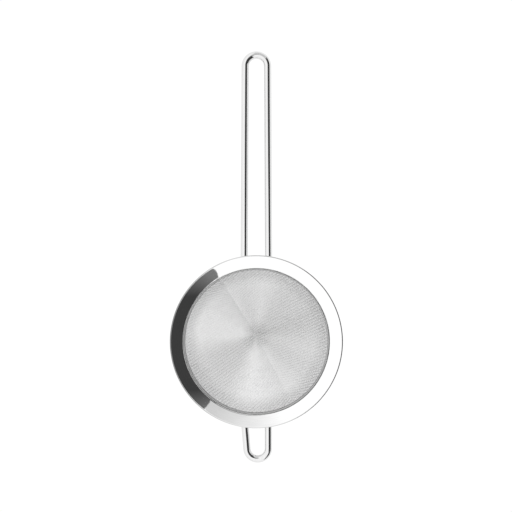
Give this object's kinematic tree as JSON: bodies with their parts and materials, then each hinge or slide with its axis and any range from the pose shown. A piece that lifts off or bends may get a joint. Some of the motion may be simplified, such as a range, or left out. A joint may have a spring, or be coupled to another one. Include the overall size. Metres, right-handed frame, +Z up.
{
  "type": "tea strainer",
  "caption": "Steel tea strainer with a conical fine-mesh bowl, a wide polished rim, a long looped wire handle and a short wire rest.",
  "frame": {"origin": "on the bowl's axis, in the plane of the wires' undersides, which is the plane of the cup's edge in use", "axes": "+Z up along the bowl's axis, out of the bowl's mouth; +Y along the handle, away from the bowl; +X across the handle"},
  "size_m": [0.08, 0.1911, 0.037],
  "materials": {
    "rim_steel": "mirror-polished stainless steel",
    "ring_steel": "bright rolled stainless steel",
    "mesh_steel": "plain-woven fine stainless wire",
    "wire_steel": "polished stainless wire",
    "weld_steel": "dull weld metal"
  },
  "bodies": {
    "root": {"rim_band": "rim_steel", "crimp_ring": "ring_steel", "mesh_bowl": "mesh_steel", "handle_wire": "wire_steel", "rest_wire": "wire_steel", "handle_weld_left": "weld_steel", "handle_weld_right": "weld_steel", "rest_weld_left": "weld_steel", "rest_weld_right": "weld_steel"}
  },
  "joints": []
}
